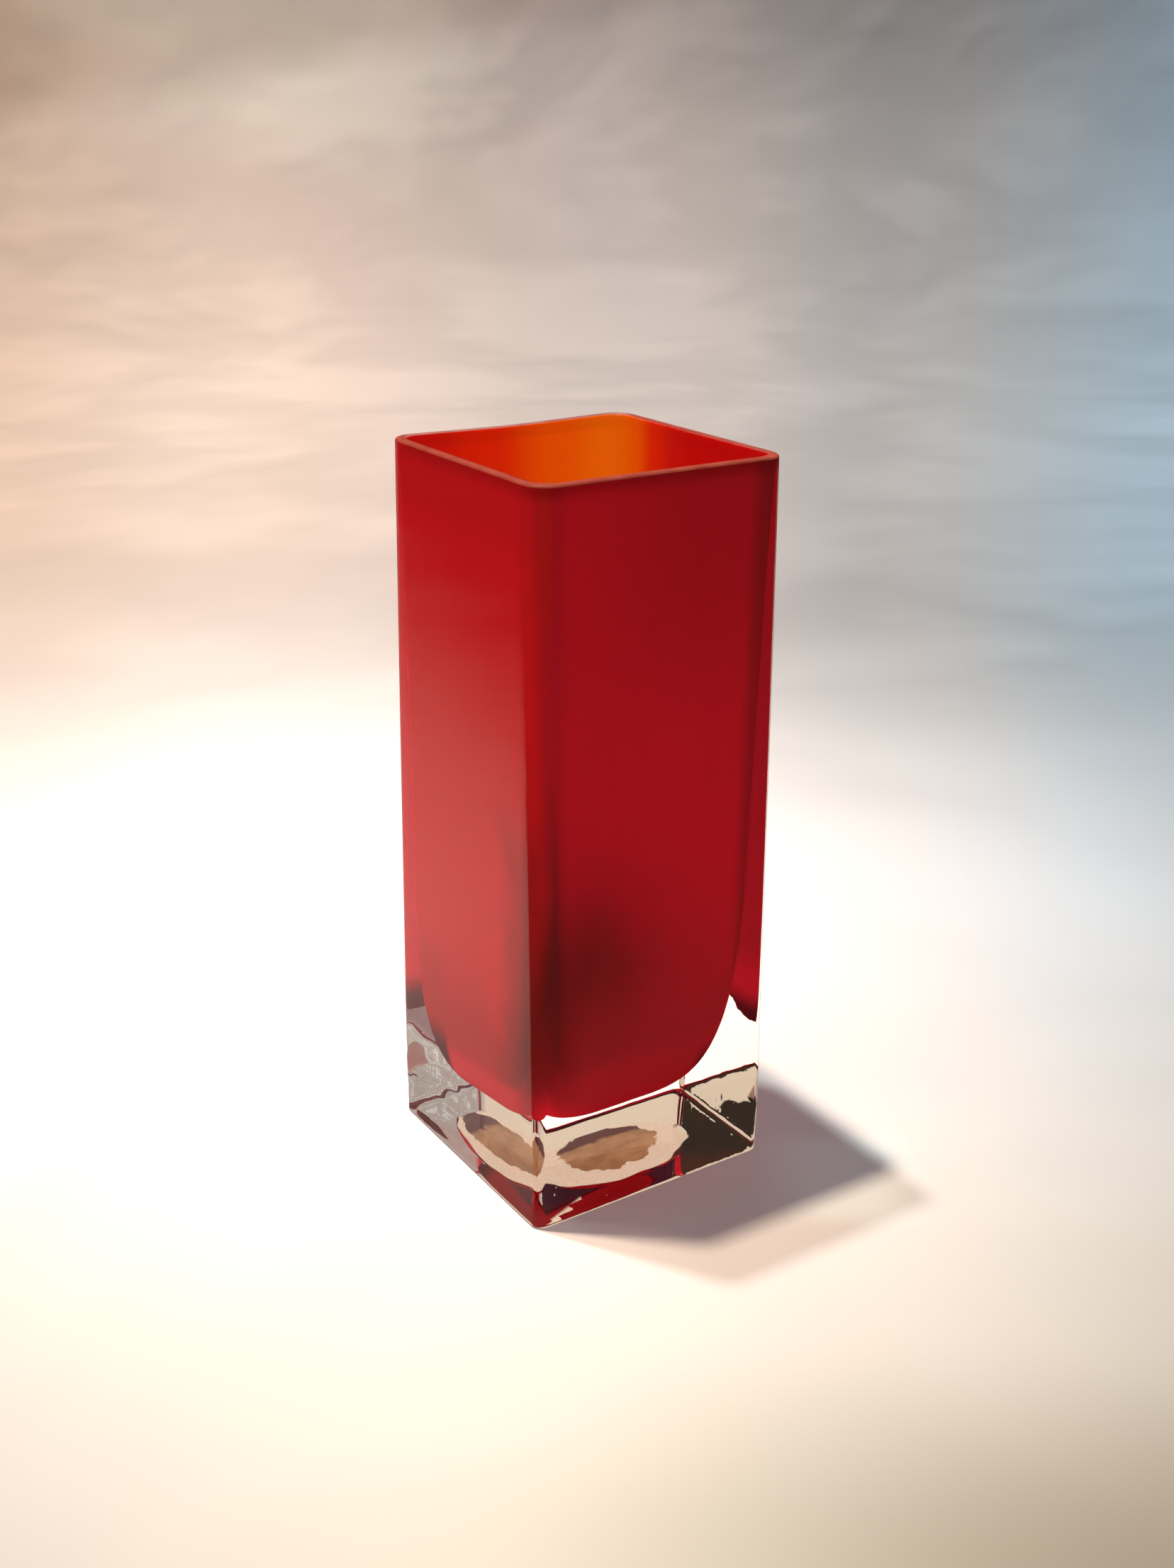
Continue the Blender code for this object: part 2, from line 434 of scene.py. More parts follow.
def ruby_outside():
    """The ruby seen through the clear glass fused to it: no surface of its own, only a deep colour, with painted shade
    and painted light on its walls.
    """
    material, tree, out = new_material("ruby_glass_fused_side")
    vector, x, y, z = position(tree)
    streaks = noise_of(tree, scaled(tree, vector, (1.0, 1.0, 0.12)), 70.0, 4.0, 0.55)
    clouds = noise_of(tree, vector, 22.0, 2.0)
    body = ramp(tree, streaks, [(0.25, (0.86, 0.0100, 0.0280)), (0.75, (0.94, 0.0130, 0.0330))])
    body = blend_colour(tree, span(tree, clouds, 0.3, 0.75), body, (0.90, 0.0115, 0.0300))
    body = blend_colour(tree, span(tree, z, 0.120, 0.195), body, (0.88, 0.0100, 0.0260))
    # painted light: the -X wall is made a brighter red, as it is lit and mirrors the lit cloth
    left = span(tree, x, -0.0310, -0.0325)
    body = blend_colour(tree, left, body, (0.98, 0.0120, 0.0200))
    # painted shade: the walls are darker low down, most of all on the -Y wall, which faces the vase's shadow on the
    # cloth
    low = math_node(tree, "SUBTRACT", 1.0, span(tree, z, 0.018, 0.095))
    right = span(tree, math_node(tree, "MULTIPLY", y, -1.0), 0.020, 0.033)
    painted_low_shade = math_node(tree, "MULTIPLY", low, math_node(tree, "ADD", math_node(tree, "MULTIPLY", right, 0.55), 0.35))
    body = blend_colour(tree, painted_low_shade, body, (0.33, 0.0200, 0.0290))
    # painted shade: a large dark patch and darker strips on the -Y wall, darker strips low on the -X wall, and a milder
    # darkening of the other walls
    def m(operation, first, second=None):
        return math_node(tree, operation, first, second)

    drift = m("MULTIPLY", m("SUBTRACT", noise_of(tree, vector, 42.0, 3.0), 0.5), 0.020)
    across = m("DIVIDE", m("ADD", m("ADD", x, 0.023), drift), 0.029)
    along = m("DIVIDE", m("ADD", m("SUBTRACT", z, 0.072), drift), 0.023)
    painted_dark_patch = m("EXPONENT", m("MULTIPLY", m("ADD", m("MULTIPLY", across, across), m("MULTIPLY", along, along)), -1.0))
    front = span(tree, y, -0.0305, -0.0325)
    shade = m("SUBTRACT", 0.73, m("MULTIPLY", painted_dark_patch, 0.47))
    shade = m("MULTIPLY", shade, m("SUBTRACT", 1.0, m("MULTIPLY", m("MULTIPLY", span(tree, x, -0.026, 0.012), span(tree, z, 0.125, 0.185)), 0.24)))
    shade = m("MULTIPLY", shade, m("SUBTRACT", 1.0, m("MULTIPLY", span(tree, x, 0.0255, 0.0300), 0.42)))
    shade = m("MULTIPLY", shade, m("SUBTRACT", 1.0, m("MULTIPLY", span(tree, x, -0.0255, -0.0300), m("ADD", 0.08, m("MULTIPLY", span(tree, m("ADD", z, drift), 0.130, 0.085), 0.32)))))
    edge = m("MULTIPLY", span(tree, m("ADD", y, drift), -0.011, -0.023), span(tree, m("ADD", z, drift), 0.120, 0.095))
    edge = m("MULTIPLY", edge, left)
    side = m("SUBTRACT", 0.90, m("MULTIPLY", edge, 0.30))
    side = m("MULTIPLY", side, m("SUBTRACT", 1.0, m("MULTIPLY", m("MULTIPLY", left, span(tree, m("ADD", z, drift), 0.070, 0.038)), 0.28)))
    side = m("MULTIPLY", side, m("SUBTRACT", 1.0, m("MULTIPLY", span(tree, x, 0.0280, 0.0300), 0.30)))
    shade = m("ADD", m("MULTIPLY", front, shade), m("MULTIPLY", m("SUBTRACT", 1.0, front), side))
    # painted shade along the front edge, deeper below the middle of its height
    corner = m("MULTIPLY", span(tree, x, -0.0283, -0.0302), span(tree, y, -0.0255, -0.0295))
    corner = m("MULTIPLY", corner, m("ADD", 0.12, m("MULTIPLY", span(tree, z, 0.150, 0.090), 0.24)))
    shade = m("MULTIPLY", shade, m("SUBTRACT", 1.0, corner))
    tone = tree.nodes.new("ShaderNodeCombineColor")
    tree.links.new(shade, tone.inputs[0])
    tone.inputs[1].default_value = 1.0
    tree.links.new(m("ADD", 0.4, m("MULTIPLY", shade, 0.6)), tone.inputs[2])
    body = blend_colour(tree, 1.0, body, tone.outputs[0], "MULTIPLY")
    # painted shade: the cup's flat underside is darker, the low end of the -Y wall at the front edge darker still, and
    # the far part of the underside, where it turns up, darkest
    flat = math_node(tree, "MULTIPLY", span(tree, z, 0.0235, 0.0220), span(tree, x, 0.0200, 0.0150))
    body = blend_colour(tree, flat, body, (0.46, 0.0150, 0.0240))
    body = blend_colour(tree, math_node(tree, "MULTIPLY", right, math_node(tree, "MULTIPLY", low, span(tree, x, -0.0180, -0.0330))), body, (0.13, 0.0060, 0.0090))
    under = math_node(tree, "MULTIPLY", span(tree, z, 0.0400, 0.0290), math_node(tree, "MAXIMUM", span(tree, y, 0.0125, 0.0155), span(tree, x, 0.0165, 0.0195)))
    body = blend_colour(tree, under, body, (0.060, 0.0075, 0.0135))
    diffuse = tree.nodes.new("ShaderNodeBsdfDiffuse")
    tree.links.new(body, diffuse.inputs["Color"])
    through = add(tree, "ShaderNodeBsdfTranslucent", Color=(0.85, 0.030, 0.006, 1))
    mixer = tree.nodes.new("ShaderNodeMixShader")
    mixer.inputs[0].default_value = 0.09
    tree.links.new(diffuse.outputs[0], mixer.inputs[1])
    tree.links.new(through.outputs[0], mixer.inputs[2])
    # lamps and soft light reach the bare side through this one
    clear = add(tree, "ShaderNodeBsdfTransparent", Color=(1.0, 0.60, 0.30, 1))
    tree.links.new(straight_through(tree, mixer.outputs[0], clear.outputs[0], clear.outputs[0]), out.inputs["Surface"])
    return material


def ruby_inside():
    """The bare side of the ruby, with painted glow. Its colour runs to bright orange in one corner, where light shines
    through the wall.
    """
    material, tree, out = new_material("ruby_glass_bare_side")
    vector, x, y, z = position(tree)
    # painted glow: brighter and more orange towards the +X+Y corner
    dx = math_node(tree, "SUBTRACT", x, 0.0290)
    dy = math_node(tree, "MULTIPLY", math_node(tree, "SUBTRACT", y, 0.0330), 2.1)
    away = math_node(
        tree,
        "SQRT",
        math_node(tree, "ADD", math_node(tree, "MULTIPLY", dx, dx), math_node(tree, "MULTIPLY", dy, dy)),
    )
    cloud = noise_of(tree, scaled(tree, vector, (1.0, 1.0, 0.3)), 60.0, 3.0)
    away = math_node(tree, "ADD", away, math_node(tree, "MULTIPLY", math_node(tree, "SUBTRACT", cloud, 0.5), 0.008))
    colour = ramp(
        tree,
        math_node(tree, "DIVIDE", away, 0.070),
        [
            (0.0, (0.90, 0.150, 0.003)),
            (0.22, (0.88, 0.100, 0.0015)),
            (0.50, (0.76, 0.021, 0.002)),
            (0.80, (0.62, 0.008, 0.005)),
            (1.0, (0.60, 0.005, 0.004)),
        ],
    )
    body = add(tree, "ShaderNodeBsdfPrincipled", Roughness=0.20, Metallic=0.0)
    body.inputs["Specular IOR Level"].default_value = 0.25
    tree.links.new(colour, body.inputs["Base Color"])
    through = tree.nodes.new("ShaderNodeBsdfTranslucent")
    tree.links.new(colour, through.inputs["Color"])
    mixer = tree.nodes.new("ShaderNodeMixShader")
    mixer.inputs[0].default_value = 0.6
    tree.links.new(body.outputs[0], mixer.inputs[1])
    tree.links.new(through.outputs[0], mixer.inputs[2])
    # painted glow: an emission in the wall's own colour stands in for light that comes through it
    painted_glow = tree.nodes.new("ShaderNodeEmission")
    tree.links.new(colour, painted_glow.inputs["Color"])
    shared = tree.nodes.new("ShaderNodeMixShader")
    shared.inputs[0].default_value = 0.50
    tree.links.new(mixer.outputs[0], shared.inputs[1])
    tree.links.new(painted_glow.outputs[0], shared.inputs[2])
    tree.links.new(shared.outputs[0], out.inputs["Surface"])
    return material


def seed_glass():
    """Seed bubbles: round skins of air that throw back nearly all the light."""
    material, tree, out = new_material("seed_bubbles")
    vector, _, _, _ = position(tree)
    speck = noise_of(tree, vector, 900.0, 1.0)
    colour = ramp(tree, speck, [(0.3, (0.95, 0.90, 0.84)), (0.7, (1.0, 0.99, 0.96))])
    body = add(tree, "ShaderNodeBsdfPrincipled", Roughness=0.12, Metallic=1.0)
    tree.links.new(colour, body.inputs["Base Color"])
    tree.links.new(body.outputs[0], out.inputs["Surface"])
    return material


# ---------------------------------------------------------------- the clear block
def ripple(p):
    """How far the outside is pulled in at p, in metres: slow waves, and tight cords low on the -X wall."""
    x, y, z = p
    slow = noise.noise(Vector((x * 22, y * 22, z * 13)) + Vector((3.1, 0.4, 7.7)))
    pull = 0.00009 * (0.5 + 0.5 * slow)
    low = smooth((0.034 - z) / 0.016) * smooth(z / 0.003)
    if low > 0:
        fine = noise.noise(Vector((x * 95, y * 120, z * 190)) + Vector((1.3, 5.2, 2.6)))
        pull += low * 0.00006 * (0.5 + 0.5 * fine)
        if x < -0.030:
            turn = math.hypot(y - 0.008, (z - 0.002) * 1.25)
            cord = 0.5 + 0.5 * math.sin(turn * 900 + 2.2 * fine)
            pull += low * smooth((y + 0.002) / 0.012) * 0.00013 * cord
    return pull


def settle(p):
    """The finished place of a point of the outside: rippled, and with the rim's sag."""
    x, y, z = p
    pull = ripple(p)
    reach = max(abs(x), abs(y))
    k = 1 - pull / max(reach, 0.02)
    sag = RIM_DIP * smooth((z - 0.150) / 0.050) * smooth((y - 0.020) / 0.013) * math.cos(x / 0.036 * 1.5) ** 2
    return (x * k, y * k, z - sag)


def rim_sag(p):
    x, y, z = p
    sag = RIM_DIP * smooth((z - 0.150) / 0.050) * smooth((y - 0.020) / 0.013) * math.cos(x / 0.036 * 1.5) ** 2
    return (x, y, z - sag)


def clear_block():
    rings = []
    slots = []

    def put(ring, slot):
        rings.append(ring)
        slots.append(slot)

    # underside, from the middle out
    for k in range(1, 17):
        r = (PUNT_R - 0.0009) * k / 16
        put(circle(r, PUNT_DEPTH - (PUNT_DEPTH - RING_RISE - PUNT_STEP) * (r / PUNT_R) ** 2), 2)
    put(circle(PUNT_R - 0.0004, RING_RISE + PUNT_STEP * 0.6), 2)
    put(circle(PUNT_R, RING_RISE + PUNT_STEP * 0.1), 2)
    inner_half = outer_half(0) - FOOT_EDGE_W - CONTACT
    square = rounded_square(inner_half, outer_corner(0) - FOOT_EDGE_W * 0.5, 0.0)
    ring = circle(PUNT_R + 0.0004, 0.0)
    for k in range(0, 8):
        t = k / 8
        put(between(ring, square, t, RING_RISE * (1 - t) * (1 - 0.25 * t)), 2)
    put(square, 0)
    put(rounded_square(outer_half(0) - FOOT_EDGE_W, outer_corner(0) - FOOT_EDGE_W * 0.5, 0.0), 0)
    # outside
    for k in range(1, 10):
        a = math.radians(10 * k)
        z = FOOT_EDGE_H * (1 - math.cos(a))
        inset = FOOT_EDGE_W * (1 - math.sin(a))
        put(rounded_square(outer_half(z) - inset, outer_corner(z) - inset * 0.5, z), 0)
    z = 0.0026
    while z < 0.040:
        put([settle(p) for p in rounded_square(outer_half(z), outer_corner(z), z)], 0)
        z += 0.0011
    while z < HEIGHT - 0.004:
        put([settle(p) for p in rounded_square(outer_half(z), outer_corner(z), z)], 0)
        z += 0.0040
    z = HEIGHT - 0.0022
    put([settle(p) for p in rounded_square(outer_half(z), outer_corner(z), z)], 0)
    z = HEIGHT - RIM_EDGE_R
    put([settle(p) for p in rounded_square(outer_half(z), outer_corner(z), z)], 0)
    for k in range(1, 7):
        a = math.radians(15 * k)
        inset = RIM_EDGE_R * (1 - math.cos(a))
        z = HEIGHT - RIM_EDGE_R * (1 - math.sin(a))
        put(
            [rim_sag(p) for p in rounded_square(outer_half(HEIGHT) - inset, RIM_CORNER_R - inset, z)],
            1,
        )
    cavity, bottom = cup_rings(-FUSE, -FUSE, HEIGHT)
    for k, r in enumerate(cavity):
        put([rim_sag(p) for p in r], 1 if k == 0 else 0)
    return loft(
        "clear_casing_fine",
        (0.0, 0.0, PUNT_DEPTH),
        rings,
        bottom,
        [clear_glass(), rim_glass(), underside_glass()],
        lambda i: slots[i],
    )


def ruby_layer():
    outside, under = cup_rings(0.0, 0.0, HEIGHT - CUP_RIM_DROP, 0.00022)
    inside, floor = cup_rings(-CUP_WALL, -CUP_FLOOR, HEIGHT - CUP_RIM_DROP, 0.00028)
    outer = outside[::-1]
    rings = [[rim_sag(p) for p in ring] for ring in outer + inside]
    return loft(
        "ruby_cup_fine",
        under,
        rings,
        floor,
        [ruby_outside(), ruby_inside()],
        lambda i: 0 if i < len(outer) - 2 else 1,
    )


def seeds():
    """Seed bubbles in the clear glass, drawn out upwards where the block was pulled."""
    places = [
        # x, y, z, radius, stretch: a string of them low on the -X wall, and at the front corner
        (-0.0352, 0.0262, 0.0300, 0.00026, 1.9),
        (-0.0349, 0.0236, 0.0284, 0.00024, 2.0),
        (-0.0356, 0.0246, 0.0278, 0.00018, 1.7),
        (-0.0351, 0.0232, 0.0256, 0.00020, 2.1),
        (-0.0354, 0.0240, 0.0251, 0.00016, 1.8),
        (-0.0346, 0.0170, 0.0275, 0.00022, 1.6),
        (-0.0352, 0.0180, 0.0258, 0.00018, 2.2),
        (-0.0354, 0.0252, 0.0200, 0.00020, 1.8),
        (-0.0351, 0.0122, 0.0258, 0.00016, 1.5),
        (-0.0346, -0.0348, 0.0118, 0.00017, 2.4),
        (-0.0348, -0.0351, 0.0098, 0.00020, 2.4),
        (-0.0344, -0.0346, 0.0072, 0.00016, 2.1),
        (-0.0310, -0.0358, 0.0112, 0.00017, 2.3),
        (-0.0314, -0.0356, 0.0090, 0.00019, 2.3),
        (-0.0353, -0.0330, 0.0110, 0.00013, 2.6),
        # a few loose ones in the base
        (0.0120, -0.0240, 0.0120, 0.00022, 1.2),
        (-0.0060, -0.0120, 0.0095, 0.00018, 1.1),
        (0.0255, 0.0050, 0.0110, 0.00020, 1.2),
        (0.0040, 0.0260, 0.0125, 0.00024, 1.2),
        (0.0310, -0.0290, 0.0150, 0.00016, 1.4),
        (-0.0240, 0.0310, 0.0135, 0.00020, 1.4),
        (0.0335, 0.0300, 0.0320, 0.00018, 1.8),
    ]
    bm = bmesh.new()
    for x, y, z, radius, stretch in places:
        made = bmesh.ops.create_icosphere(bm, subdivisions=2, radius=radius)
        for v in made["verts"]:
            v.co = Vector((v.co.x + x, v.co.y + y, v.co.z * stretch + z))
    mesh = bpy.data.meshes.new("seed_bubbles")
    bm.to_mesh(mesh)
    bm.free()
    mesh.shade_smooth()
    mesh.materials.append(seed_glass())
    made = bpy.data.objects.new("seed_bubbles", mesh)
    bpy.context.scene.collection.objects.link(made)
    return made


# ---------------------------------------------------------------- stage
def floor_material():
    """Pale cloth. A pool of light is painted round the vase, and painted shade makes the cloth greyer and cooler away
    from there.
    """
    material, tree, out = new_material("pale_backdrop")
    vector, x, y, z = position(tree)

    def m(operation, first, second=None):
        return math_node(tree, operation, first, second)

    deep = m("ADD", m("MULTIPLY", x, 0.549), m("MULTIPLY", y, 0.836))
    side = m("SUBTRACT", m("MULTIPLY", x, 0.836), m("MULTIPLY", y, 0.549))
    slant = m("DIVIDE", side, m("MAXIMUM", m("ADD", deep, 0.454), 0.30))
    # painted light: a pool of light round the vase
    df, ds = m("SUBTRACT", deep, 0.10), m("ADD", side, 0.10)
    away = m("SQRT", m("ADD", m("MULTIPLY", df, df), m("MULTIPLY", ds, ds)))
    painted_light_pool = m("DIVIDE", away, m("ADD", 0.325, m("MULTIPLY", span(tree, deep, -0.15, 0.25), 0.020)))
    painted_light_pool = m("EXPONENT", m("MULTIPLY", m("MULTIPLY", painted_light_pool, painted_light_pool), -1.0))
    crumple_and_shade = noise_of(tree, vector, 3.2, 3.0, 0.5, 0.3)
    crease = m("ABSOLUTE", m("SUBTRACT", noise_of(tree, vector, 2.6, 3.0, 0.5, 0.2), 0.5))
    crumple_and_shade = m("ADD", m("MULTIPLY", crumple_and_shade, 0.6), m("MULTIPLY", span(tree, crease, 0.0, 0.15), 0.4))
    # painted light and shade: away from the pool, the cloth's colour goes by direction, warm and pale on the left,
    # darker and cooler on the right, and dark towards the front
    far = ramp(
        tree,
        m("ADD", slant, 0.5),
        [
            (0.17, (0.60, 0.465, 0.395)),
            (0.30, (0.66, 0.540, 0.495)),
            (0.53, (0.470, 0.430, 0.435)),
            (0.67, (0.325, 0.330, 0.355)),
            (0.83, (0.245, 0.335, 0.430)),
        ],
    )
    front = m("DIVIDE", m("ADD", side, 0.02), 0.14)
    front = m("EXPONENT", m("MULTIPLY", m("MULTIPLY", front, front), -1.0))
    front = blend_colour(tree, front, (0.17, 0.135, 0.085), (0.46, 0.39, 0.28))
    far = blend_colour(tree, span(tree, deep, -0.16, 0.22), front, far)
    height = m("SQRT", m("ADD", m("MULTIPLY", x, x), m("MULTIPLY", y, y)))
    lift = m("ADD", m("MULTIPLY", span(tree, height, 0.35, 0.85), 0.34), 0.60)
    # painted shade: the cloth is darker in its creases and crumples
    lift = m("MULTIPLY", lift, m("ADD", m("MULTIPLY", crumple_and_shade, 0.26), 0.87))
    lift = m("MULTIPLY", lift, m("SUBTRACT", 1.0, m("MULTIPLY", m("MULTIPLY", span(tree, deep, 1.90, 2.15), span(tree, slant, -0.02, 0.12)), 0.20)))
    pale = tree.nodes.new("ShaderNodeCombineColor")
    for socket in pale.inputs:
        tree.links.new(lift, socket)
    far = blend_colour(tree, 1.0, far, pale.outputs[0], "MULTIPLY")
    # painted light: the pool is added to the cloth's colour
    glow = tree.nodes.new("ShaderNodeCombineColor")
    for socket, share in zip(glow.inputs, (0.72, 0.71, 0.74)):
        tree.links.new(m("MULTIPLY", painted_light_pool, share), socket)
    colour = blend_colour(tree, 1.0, far, glow.outputs[0], "ADD")
    # painted shade: darker in front of the vase, to its right
    dusk = m("MULTIPLY", span(tree, side, -0.05, 0.13), span(tree, deep, -0.09, -0.17))
    colour = blend_colour(tree, dusk, colour, blend_colour(tree, 1.0, colour, (0.66, 0.64, 0.58), "MULTIPLY"))
    # the cloth is paler and cooler high up on the left; and painted light makes it paler under the shadow's far half,
    # lifting that part of the shadow
    high = m("MULTIPLY", span(tree, deep, 1.80, 2.12), span(tree, slant, -0.02, -0.14))
    colour = blend_colour(tree, high, colour, blend_colour(tree, 1.0, colour, (1.12, 1.28, 1.28), "MULTIPLY"))
    end = m("MULTIPLY", span(tree, side, 0.046, 0.068), span(tree, side, 0.100, 0.078))
    end = m("MULTIPLY", end, m("MULTIPLY", span(tree, deep, -0.052, -0.038), span(tree, deep, 0.002, -0.012)))
    colour = blend_colour(tree, end, colour, blend_colour(tree, 1.0, colour, (1.10, 1.20, 1.20), "MULTIPLY"))
    # plain all the way round, away from the side that stands behind the vase in the main view
    turn = m("DIVIDE", deep, m("MAXIMUM", height, 0.3))
    plain = m("MULTIPLY", span(tree, height, 0.42, 1.0), m("SUBTRACT", 1.0, span(tree, turn, 0.45, 0.88)))
    colour = blend_colour(tree, plain, colour, (0.33, 0.305, 0.285))
    bump = add(tree, "ShaderNodeBump", Strength=0.5, Distance=0.025)
    tree.links.new(crumple_and_shade, bump.inputs["Height"])
    cloth = add(tree, "ShaderNodeBsdfDiffuse", Roughness=0.4)
    tree.links.new(colour, cloth.inputs["Color"])
    tree.links.new(bump.outputs[0], cloth.inputs["Normal"])
    path = tree.nodes.new("ShaderNodeLightPath")
    # seen through the clear glass: the far cloth and the room
    reach = m("MAXIMUM", height, 0.3)
    seen = far_side(tree, m("DIVIDE", x, reach), m("DIVIDE", y, reach), m("DIVIDE", z, reach))
    hung = add(tree, "ShaderNodeEmission", Strength=1.0)
    tree.links.new(seen, hung.inputs["Color"])
    seen_through = m("MULTIPLY", m("MULTIPLY", path.outputs["Is Glossy Ray"], path.outputs["Is Transmission Ray"]), span(tree, height, 0.55, 1.1))
    first = tree.nodes.new("ShaderNodeMixShader")
    tree.links.new(seen_through, first.inputs[0])
    tree.links.new(cloth.outputs[0], first.inputs[1])
    tree.links.new(hung.outputs[0], first.inputs[2])
    # painted reflection, mirrored in the outside: the lit cloth on the left, and a dark colour for the unlit room in
    # front of the vase
    flat = m("ADD", m("MULTIPLY", m("ADD", x, 0.0375), 0.835), m("MULTIPLY", m("ADD", y, 0.0375), 0.55))
    reach = m("ADD", height, m("MULTIPLY", m("SUBTRACT", noise_of(tree, vector, 11.0, 3.0), 0.5), 0.22))
    reach = m("SUBTRACT", reach, m("MULTIPLY", m("SUBTRACT", flat, 0.02), 2.6))
    lit = span(tree, reach, 0.62, 0.22)
    lit = m("MULTIPLY", lit, m("ADD", 0.72, m("MULTIPLY", span(tree, height, 0.06, 0.20), 0.28)))
    lit = m("MULTIPLY", lit, m("SUBTRACT", 1.0, span(tree, x, -0.06, 0.0)))
    # only the flat of the -X wall mirrors it: the front edge turns away from it at once
    lit = m("MULTIPLY", lit, span(tree, flat, -0.010, -0.001))
    dark = add(tree, "ShaderNodeBsdfDiffuse", Color=(0.012, 0.011, 0.010, 1))
    mirrored = m("MULTIPLY", path.outputs["Is Glossy Ray"], m("SUBTRACT", 1.0, path.outputs["Is Transmission Ray"]))
    dim = m("MULTIPLY", mirrored, m("SUBTRACT", 1.0, m("MULTIPLY", lit, 0.55)))
    mixer = tree.nodes.new("ShaderNodeMixShader")
    tree.links.new(dim, mixer.inputs[0])
    tree.links.new(first.outputs[0], mixer.inputs[1])
    tree.links.new(dark.outputs[0], mixer.inputs[2])
    tree.links.new(mixer.outputs[0], out.inputs["Surface"])
    return material


def backdrop():
    """A round cloth: flat under the vase and swept up to a wall all round it."""
    profile = [(r, 0.0) for r in (0.1, 0.2, 0.35, 0.55, 0.8, 1.1, 1.4)]
    for k in range(1, 13):
        a = math.radians(90 * k / 12)
        profile.append((1.4 + 0.9 * math.sin(a), 0.9 * (1 - math.cos(a))))
    profile += [(2.3, 1.2), (2.3, 1.6)]
    bm = bmesh.new()
    count = 96
    rows = [
        [bm.verts.new((r * math.cos(2 * math.pi * i / count), r * math.sin(2 * math.pi * i / count), h - 0.0001)) for i in range(count)]
        for r, h in profile
    ]
    middle = bm.verts.new((0, 0, -0.0001))
    for i in range(count):
        j = (i + 1) % count
        bm.faces.new((middle, rows[0][i], rows[0][j]))
        for low, high in zip(rows, rows[1:]):
            bm.faces.new((low[i], high[i], high[j], low[j]))
    mesh = bpy.data.meshes.new("backdrop")
    bm.to_mesh(mesh)
    bm.free()
    mesh.shade_smooth()
    mesh.materials.append(floor_material())
    made = bpy.data.objects.new("backdrop", mesh)
    bpy.context.scene.collection.objects.link(made)
    return made


def sun(name, towards, strength, colour, degrees):
    lamp = bpy.data.lights.new(name, "SUN")
    lamp.energy = strength
    lamp.color = colour
    lamp.angle = math.radians(degrees)
    made = bpy.data.objects.new(name, lamp)
    made.rotation_mode = "QUATERNION"
    made.rotation_quaternion = Vector(towards).to_track_quat("Z", "Y")
    made.location = Vector(towards).normalized() * 2.0
    bpy.context.scene.collection.objects.link(made)
    return made


def only(lamp, piece):
    """The lamp lights nothing but this piece."""
    group = bpy.data.collections.new("lit_by_" + lamp.name)
    group.objects.link(piece)
    lamp.light_linking.receiver_collection = group


def camera():
    """Stands at the front corner and looks down on the vase."""
    distance, height = 0.45366, 0.28702
    pitch, pan, roll, turn = (math.radians(v) for v in (21.53, 0.2, 0.51, -33.3))
    forward = Vector((math.sin(pan) * math.cos(pitch), math.cos(pan) * math.cos(pitch), -math.sin(pitch)))
    right = forward.cross(Vector((0, 0, 1))).normalized()
    up = right.cross(forward)
    right, up = right * math.cos(roll) + up * math.sin(roll), up * math.cos(roll) - right * math.sin(roll)
    spin = Matrix.Rotation(turn, 3, "Z")
    right, up, back = spin @ right, spin @ up, spin @ -forward
    place = spin @ Vector((0, -distance, height))
    data = bpy.data.cameras.new("camera")
    data.sensor_fit = "AUTO"
    data.sensor_width = 36
    data.lens = 2537.3 * 36 / 2212
    data.clip_start = 0.01
    made = bpy.data.objects.new("camera", data)
    made.matrix_world = Matrix(
        (
            (right[0], up[0], back[0], place[0]),
            (right[1], up[1], back[1], place[1]),
            (right[2], up[2], back[2], place[2]),
            (0, 0, 0, 1),
        )
    )
    bpy.context.scene.collection.objects.link(made)
    bpy.context.scene.camera = made


block = clear_block()
ruby = ruby_layer()
bubbles = seeds()
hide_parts("clear_casing")
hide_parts("ruby_cup")
for piece, slot in ((block, "clear_glass"), (ruby, "ruby_glass"), (bubbles, "clear_glass")):
    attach(piece, "root")

backdrop()
camera()
sun("key", (-0.0305, 0.0305, 0.2), 3.1, (1.0, 0.80, 0.62), 2.6)
sun("second", (-0.0265, 0.0475, 0.2), 1.85, (0.88, 1.0, 0.97), 2.2)
# two soft lamps for the ruby alone: one in front of it, and one behind that makes its far walls glow
only(sun("front_fill", (-0.55, -0.70, 0.45), 1.45, (1.0, 0.97, 0.97), 70), ruby)
only(sun("glow", (0.30, 0.85, 0.40), 5.0, (1.0, 0.95, 0.90), 20), ruby)


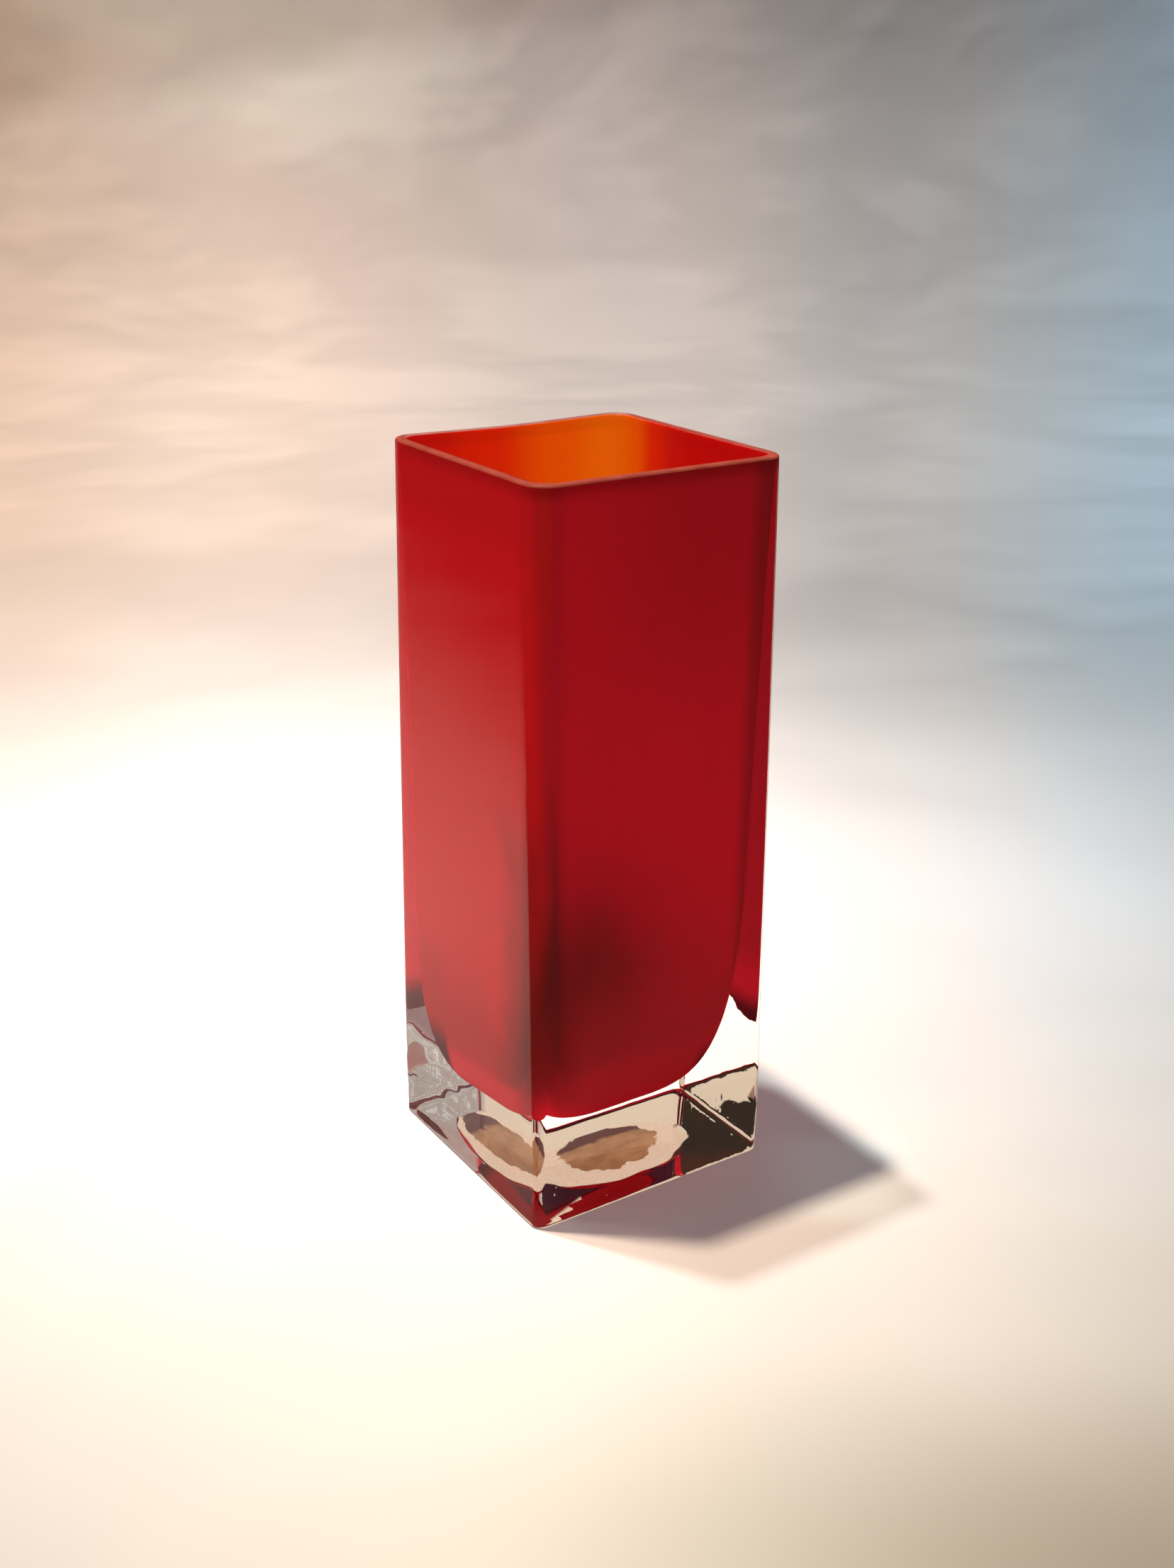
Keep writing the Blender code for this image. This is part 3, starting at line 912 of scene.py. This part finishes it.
def room():
    """Soft light from all round, and a dark ceiling wherever the glass bends the view up to it."""
    world = bpy.data.worlds.new("room")
    bpy.context.scene.world = world
    world.use_nodes = True
    tree = world.node_tree
    tree.nodes.clear()
    out = tree.nodes.new("ShaderNodeOutputWorld")
    soft = add(tree, "ShaderNodeBackground", Color=(0.64, 0.655, 0.70, 1), Strength=0.57)
    dark = add(tree, "ShaderNodeBackground", Color=(0.022, 0.015, 0.012, 1), Strength=1.0)
    # through the clear base: the same cloth and room as the backdrop shows, carried on over its top
    coords = tree.nodes.new("ShaderNodeTexCoord")
    split = tree.nodes.new("ShaderNodeSeparateXYZ")
    tree.links.new(coords.outputs["Generated"], split.inputs[0])
    dx, dy, dz = split.outputs
    flat = math_node(tree, "SQRT", math_node(tree, "ADD", math_node(tree, "MULTIPLY", dx, dx), math_node(tree, "MULTIPLY", dy, dy)))
    flat = math_node(tree, "MAXIMUM", flat, 0.05)
    seen = far_side(tree, *(math_node(tree, "DIVIDE", value, flat) for value in (dx, dy, dz)))
    beyond = add(tree, "ShaderNodeBackground", Strength=1.0)
    tree.links.new(seen, beyond.inputs["Color"])
    path = tree.nodes.new("ShaderNodeLightPath")
    bent = tree.nodes.new("ShaderNodeMixShader")
    tree.links.new(path.outputs["Is Transmission Ray"], bent.inputs[0])
    tree.links.new(dark.outputs[0], bent.inputs[1])
    tree.links.new(beyond.outputs[0], bent.inputs[2])
    mixer = tree.nodes.new("ShaderNodeMixShader")
    tree.links.new(path.outputs["Is Glossy Ray"], mixer.inputs[0])
    tree.links.new(soft.outputs[0], mixer.inputs[1])
    tree.links.new(bent.outputs[0], mixer.inputs[2])
    tree.links.new(mixer.outputs[0], out.inputs["Surface"])


room()

scene = bpy.context.scene
scene.view_settings.view_transform = "Standard"
scene.cycles.max_bounces = 18
scene.cycles.transmission_bounces = 16
scene.cycles.glossy_bounces = 10
scene.cycles.diffuse_bounces = 4
scene.cycles.transparent_max_bounces = 16
scene.cycles.sample_clamp_indirect = 6.0
